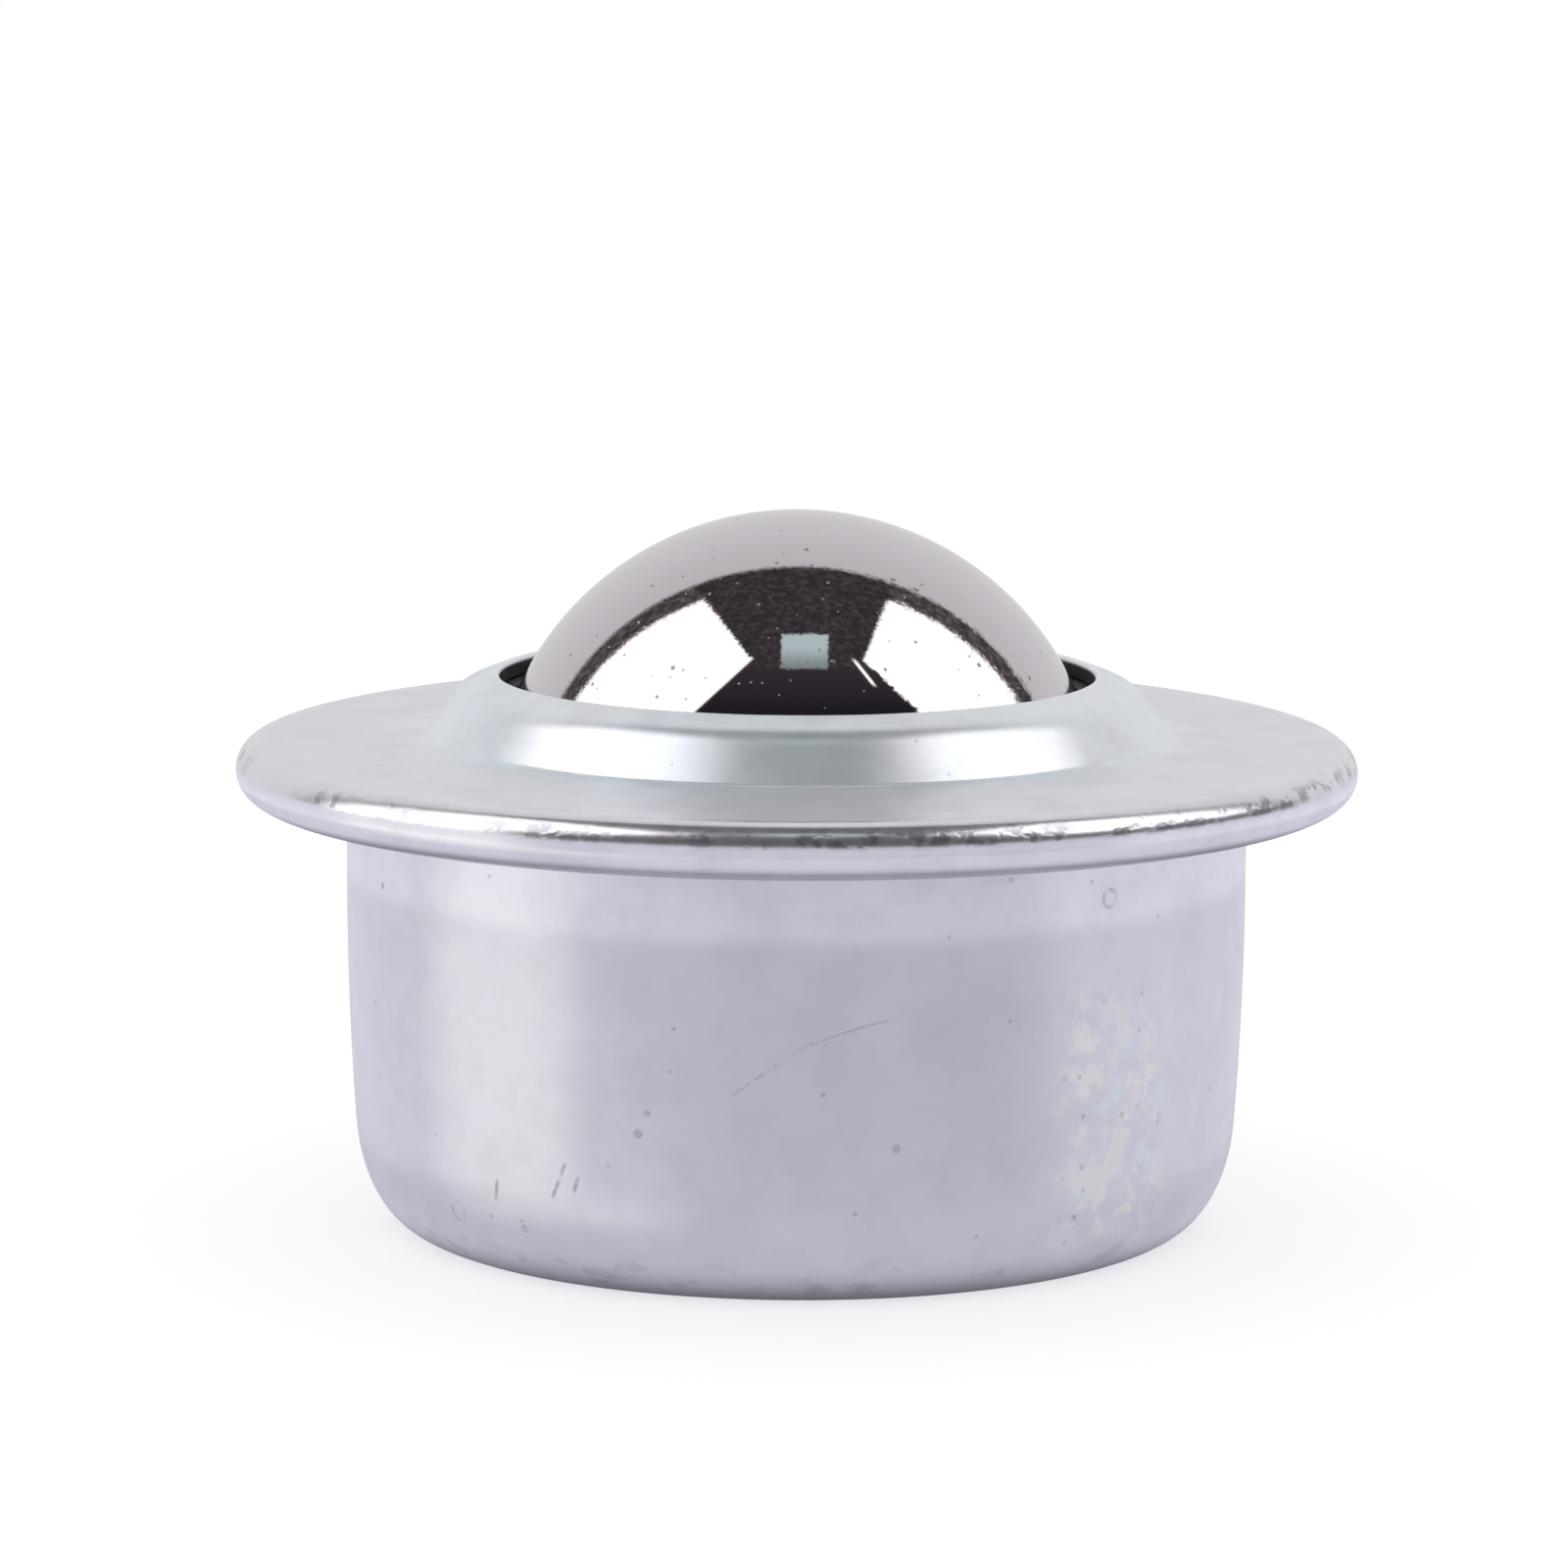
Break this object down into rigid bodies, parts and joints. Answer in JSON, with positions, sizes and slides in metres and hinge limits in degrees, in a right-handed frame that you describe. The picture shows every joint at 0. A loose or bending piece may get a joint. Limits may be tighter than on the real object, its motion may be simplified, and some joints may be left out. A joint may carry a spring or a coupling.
{
  "type": "ball castor",
  "caption": "Flanged drop-in ball castor: a pressed steel cup and collar that hold a steel ball free to roll in every direction.",
  "frame": {"origin": "on the axis, in the plane of the flange's underside that sits on the plate", "axes": "+Z along the axis toward the load ball; X and Y lie in the flange's plane"},
  "size_m": [0.055, 0.055, 0.0352],
  "materials": {
    "zinc_plate": "satin",
    "bearing_steel": "satin",
    "polished_steel": "polished",
    "seal_plastic": "matte"
  },
  "bodies": {
    "housing": {"housing_cup": "zinc_plate", "top_cover": "zinc_plate", "race_cup": "bearing_steel", "retaining_ring": "bearing_steel", "seal_ring": "seal_plastic"},
    "support_ball_set": {"support_ball_bottom": "polished_steel", "support_balls_row_1": "polished_steel", "support_balls_row_2": "polished_steel", "support_balls_row_3": "polished_steel", "support_balls_row_4": "polished_steel", "support_balls_row_5": "polished_steel", "support_balls_row_6": "polished_steel", "support_balls_row_7": "polished_steel", "support_balls_row_8": "polished_steel"},
    "side_support_balls": {"support_balls_side_pair": "polished_steel"},
    "load_ball": {"load_ball": "polished_steel"}
  },
  "joints": [
    {"name": "support_ball_orbit", "type": "hinge", "parent": "housing", "child": "support_ball_set", "pos_m": [0, 0, -0.0012], "axis": [0, 0, 1], "continuous": true},
    {"name": "side_ball_spin", "type": "hinge", "parent": "support_ball_set", "child": "side_support_balls", "pos_m": [0, 0, -0.0012], "axis": [1, 0, 0], "continuous": true},
    {"name": "load_ball_roll", "type": "hinge", "parent": "side_support_balls", "child": "load_ball", "pos_m": [0, 0, -0.0012], "axis": [0, 1, 0], "continuous": true}
  ]
}
